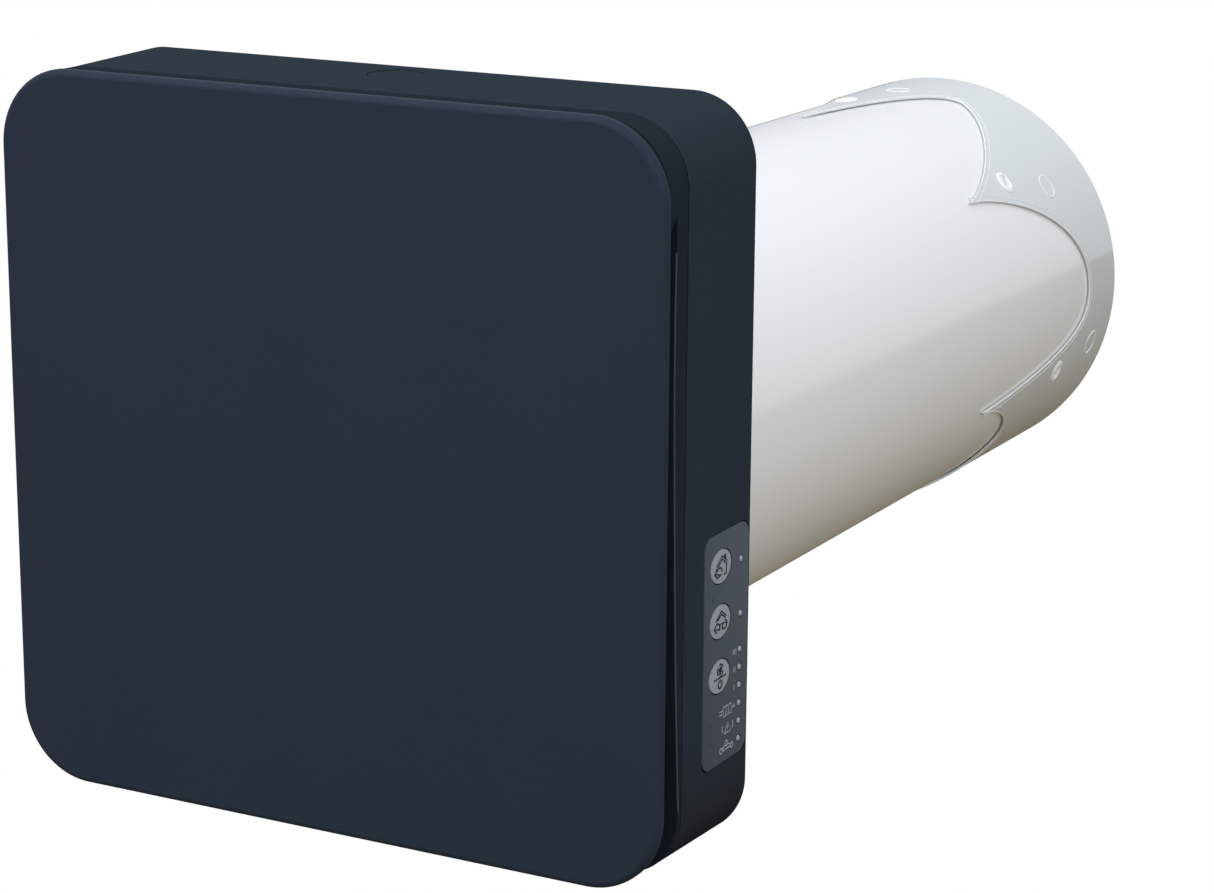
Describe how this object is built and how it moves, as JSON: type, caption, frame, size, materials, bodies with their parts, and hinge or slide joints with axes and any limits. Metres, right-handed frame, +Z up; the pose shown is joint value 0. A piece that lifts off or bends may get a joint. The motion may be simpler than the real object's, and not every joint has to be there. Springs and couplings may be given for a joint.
{
  "type": "heat recovery unit",
  "caption": "Single-room ventilation unit: square wall head with a flat cover and side air slots, on a round white through-wall duct that holds a heat regenerator.",
  "frame": {"origin": "on the duct's axis, in the plane of the wall that the back plate is screwed to", "axes": "+Z up, -Y out into the room, +Y through the wall to the outside, +X towards the side with the keys"},
  "size_m": [0.218, 0.4501, 0.2172],
  "materials": {
    "anthracite": "satin, fine grain",
    "overlay_grey": "satin film",
    "key_grey": "matt",
    "duct_white": "gloss",
    "collar_white": "gloss",
    "black_plastic": "matt",
    "black_rubber": "matt",
    "insulation_foam": "closed-cell foam",
    "filter_foam": "open-cell foam",
    "ceramic": "unglazed",
    "webbing": "woven",
    "steel": "zinc plated",
    "copper": "enamelled windings",
    "board_green": "solder resist"
  },
  "bodies": {
    "wall_side": {"duct_tube": "duct_white", "end_collar": "collar_white", "collar_screw_1": "steel", "collar_screw_2": "steel", "collar_screw_3": "steel", "collar_screw_4": "steel", "collar_screw_5": "steel", "collar_screw_6": "steel", "wall_plate": "black_plastic", "cable_grommet": "black_rubber", "plate_connector": "black_plastic", "plate_magnet_left": "steel", "plate_magnet_right": "steel"},
    "core_cartridge": {"heat_core": "ceramic", "core_wrap": "insulation_foam", "inner_filter_frame": "black_plastic", "outer_filter_frame": "black_plastic", "inner_filter": "filter_foam", "outer_filter": "filter_foam", "pull_strap": "webbing"},
    "head": {"casing": "anthracite", "front_frame": "anthracite", "clip_socket_1": "black_plastic", "clip_socket_2": "black_plastic", "clip_socket_3": "black_plastic", "clip_socket_4": "black_plastic", "control_overlay": "overlay_grey", "led_light_bar": "duct_white", "control_board": "board_green", "latch_guide": "black_plastic", "release_spring": "steel", "main_board": "board_green", "transformer": "black_plastic", "capacitor": "steel", "head_connector": "black_plastic", "fan_lead": "black_rubber", "fan_housing": "black_plastic", "fan_guard": "steel", "motor_stator": "copper", "bearing_front": "steel", "bearing_rear": "steel", "acoustic_foam": "insulation_foam", "head_magnet_left": "steel", "head_magnet_right": "steel", "flap_lug_left": "black_plastic", "flap_lug_right": "black_plastic", "flap_motor_left": "steel", "flap_motor_right": "steel"},
    "cover": {"front_panel": "anthracite"},
    "fan_rotor": {"impeller": "black_plastic", "rotor_shaft": "steel"},
    "left_shutter": {"left_flap": "black_plastic"},
    "right_shutter": {"right_flap": "black_plastic"},
    "supply_button": {"supply_key": "key_grey"},
    "recovery_button": {"recovery_key": "key_grey"},
    "speed_button": {"speed_key": "key_grey"},
    "release": {"release_button": "anthracite"}
  },
  "joints": [
    {"name": "head_pull", "type": "slide", "parent": "wall_side", "child": "head", "axis": [0, -1, 0], "range_m": [0, 0.1]},
    {"name": "cover_pull", "type": "slide", "parent": "head", "child": "cover", "axis": [0, -1, 0], "range_m": [0, 0.04]},
    {"name": "core_pull", "type": "slide", "parent": "wall_side", "child": "core_cartridge", "axis": [0, -1, 0], "range_m": [0, 0.055]},
    {"name": "fan_spin", "type": "hinge", "parent": "head", "child": "fan_rotor", "pos_m": [0, 0.012, 0], "axis": [0, 1, 0], "continuous": true},
    {"name": "left_shutter_swing", "type": "hinge", "parent": "head", "child": "left_shutter", "pos_m": [-0.09, -0.04, 0.0163], "axis": [0, 0, 1], "range_deg": [0, 85]},
    {"name": "right_shutter_swing", "type": "hinge", "parent": "head", "child": "right_shutter", "pos_m": [0.09, -0.04, 0.0163], "axis": [0, 0, 1], "range_deg": [-85, 0]},
    {"name": "supply_press", "type": "slide", "parent": "head", "child": "supply_button", "axis": [-1, 0, 0], "range_m": [0, 0.0006], "stiffness_N_per_m": 1500, "springref_m": -0.0005},
    {"name": "recovery_press", "type": "slide", "parent": "head", "child": "recovery_button", "axis": [-1, 0, 0], "range_m": [0, 0.0006], "stiffness_N_per_m": 1500, "springref_m": -0.0005},
    {"name": "speed_press", "type": "slide", "parent": "head", "child": "speed_button", "axis": [-1, 0, 0], "range_m": [0, 0.0006], "stiffness_N_per_m": 1500, "springref_m": -0.0005},
    {"name": "release_press", "type": "slide", "parent": "head", "child": "release", "axis": [0, 0, -1], "range_m": [0, 0.0025], "stiffness_N_per_m": 600, "springref_m": -0.002, "deforming": ["release_spring"]}
  ],
  "couplings": [
    {"joint": "right_shutter_swing", "follows": "left_shutter_swing", "ratio": -1}
  ]
}
